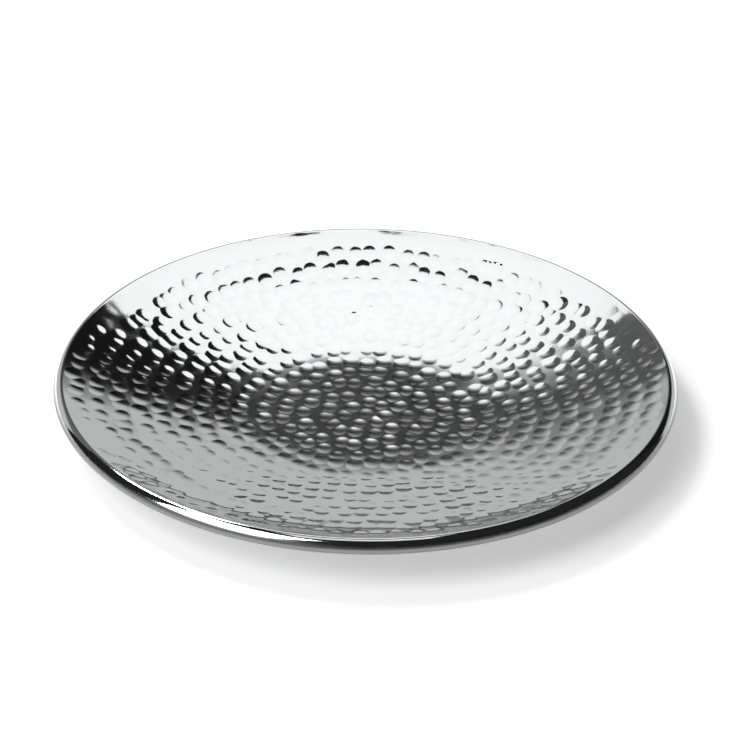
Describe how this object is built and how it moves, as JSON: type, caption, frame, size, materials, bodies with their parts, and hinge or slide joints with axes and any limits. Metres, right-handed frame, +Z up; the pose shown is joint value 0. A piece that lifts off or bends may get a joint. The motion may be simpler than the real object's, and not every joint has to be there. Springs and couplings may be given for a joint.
{
  "type": "hammered aluminium tray",
  "caption": "Shallow round serving tray of hammered, polished aluminium sheet, flat in the middle, with its edge turned outward and down and rolled round a wire.",
  "frame": {"origin": "on the table, under the middle of the dish", "axes": "+Z up along the dish's axis; -Y towards the viewer of the picture"},
  "size_m": [0.3, 0.3, 0.026],
  "materials": {
    "polished_aluminium": "hammered and polished",
    "drawn_wire": "drawn, dull"
  },
  "bodies": {
    "root": {"dish": "polished_aluminium", "rim_wire": "drawn_wire"}
  },
  "joints": []
}
